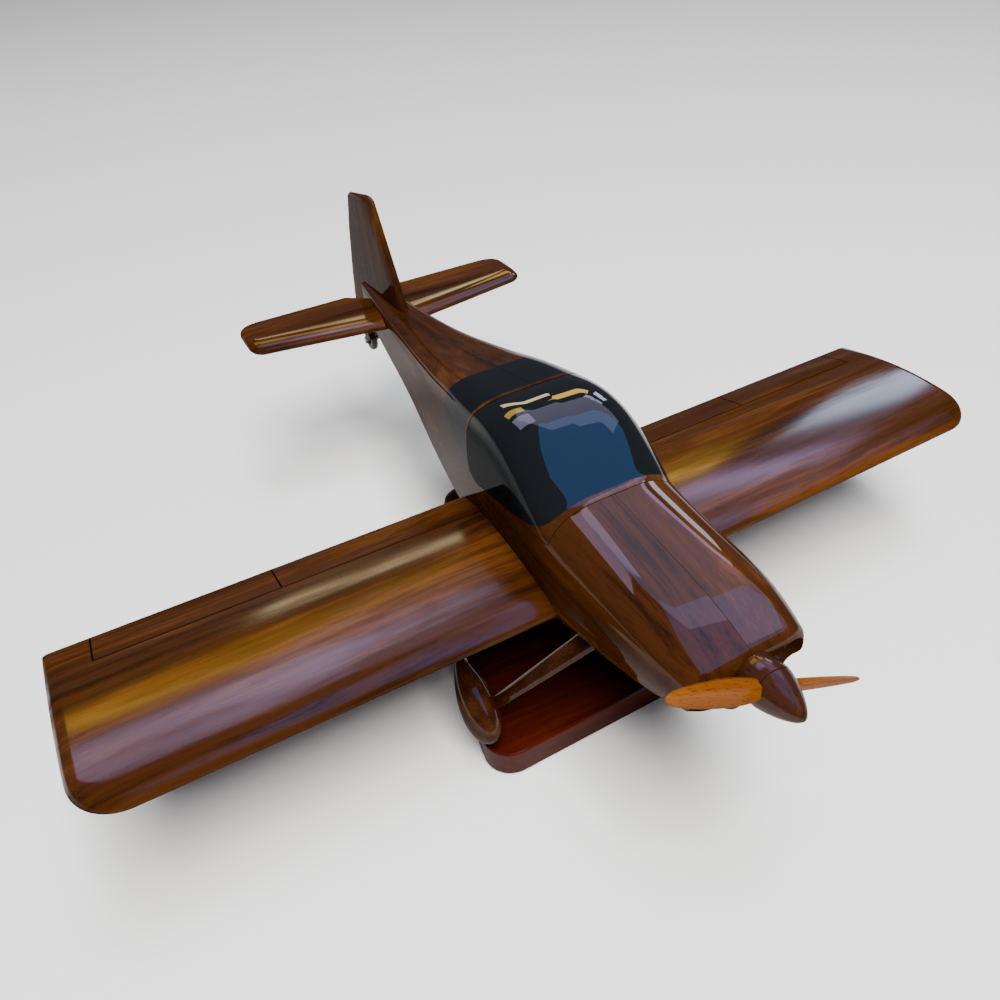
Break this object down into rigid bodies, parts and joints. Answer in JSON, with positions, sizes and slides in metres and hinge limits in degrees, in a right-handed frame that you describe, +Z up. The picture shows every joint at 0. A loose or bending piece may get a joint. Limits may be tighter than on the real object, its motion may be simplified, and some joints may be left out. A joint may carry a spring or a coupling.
{
  "type": "desk model of a propeller aeroplane",
  "caption": "Varnished wooden desk model of a low-wing two-seat propeller aeroplane with fixed tail-wheel gear, held on a peg above a shield-shaped base.",
  "frame": {"origin": "centre of the whole object's outline in plan, at the underside of the felt under the base", "axes": "+X towards the aeroplane's left wing tip, +Y towards its tail, +Z up"},
  "size_m": [0.38, 0.3522, 0.146],
  "materials": {
    "mahogany": "clear gloss varnish over dark red-brown wood",
    "mahogany_light": "clear gloss varnish over red-brown wood with open pores",
    "black_lacquer": "black gloss lacquer over wood, unpainted strip at the rear",
    "dark_dowel": "plain sanded wood",
    "rubber": "satin black",
    "brass": "polished",
    "steel": "bright",
    "felt": "dark green felt"
  },
  "bodies": {
    "stand": {"stand_base": "mahogany", "base_felt": "felt", "stand_post": "mahogany", "stand_peg": "brass", "post_screw": "steel"},
    "aeroplane": {"fuselage_left_half": "mahogany", "fuselage_right_half": "mahogany", "chin_scoop": "mahogany", "left_wing": "mahogany", "right_wing": "mahogany", "left_tailplane": "mahogany", "right_tailplane": "mahogany", "fin_and_rudder": "mahogany", "left_gear_leg": "mahogany", "right_gear_leg": "mahogany", "left_wheel_spat": "mahogany", "right_wheel_spat": "mahogany", "tailwheel_fork": "mahogany", "canopy_block": "black_lacquer", "wing_dowels": "dark_dowel", "tailplane_dowel": "dark_dowel", "fin_dowels": "dark_dowel", "nose_washer": "brass", "belly_ferrule": "brass", "left_axle_pin": "steel", "right_axle_pin": "steel", "tailwheel_axle_pin": "steel", "propeller_pin": "steel"},
    "propeller": {"spinner_cone": "mahogany", "spinner_backplate": "mahogany", "propeller_blade_one": "mahogany_light", "propeller_blade_two": "mahogany_light"},
    "left_main_wheel": {"left_main_wheel": "rubber"},
    "right_main_wheel": {"right_main_wheel": "rubber"},
    "tail_wheel": {"tail_wheel": "rubber"}
  },
  "joints": [
    {"name": "lift_off", "type": "slide", "parent": "stand", "child": "aeroplane", "axis": [0, 0, 1], "range_m": [0, 0.022]},
    {"name": "propeller_spin", "type": "hinge", "parent": "aeroplane", "child": "propeller", "pos_m": [0, -0.16345, 0.0878], "axis": [0, 1, 0], "continuous": true},
    {"name": "left_wheel_spin", "type": "hinge", "parent": "aeroplane", "child": "left_main_wheel", "pos_m": [0.0592, -0.08245, 0.0199], "axis": [1, 0, 0], "continuous": true},
    {"name": "right_wheel_spin", "type": "hinge", "parent": "aeroplane", "child": "right_main_wheel", "pos_m": [-0.0592, -0.08245, 0.0199], "axis": [1, 0, 0], "continuous": true},
    {"name": "tail_wheel_spin", "type": "hinge", "parent": "aeroplane", "child": "tail_wheel", "pos_m": [0, 0.16205, 0.0534], "axis": [1, 0, 0], "continuous": true}
  ]
}
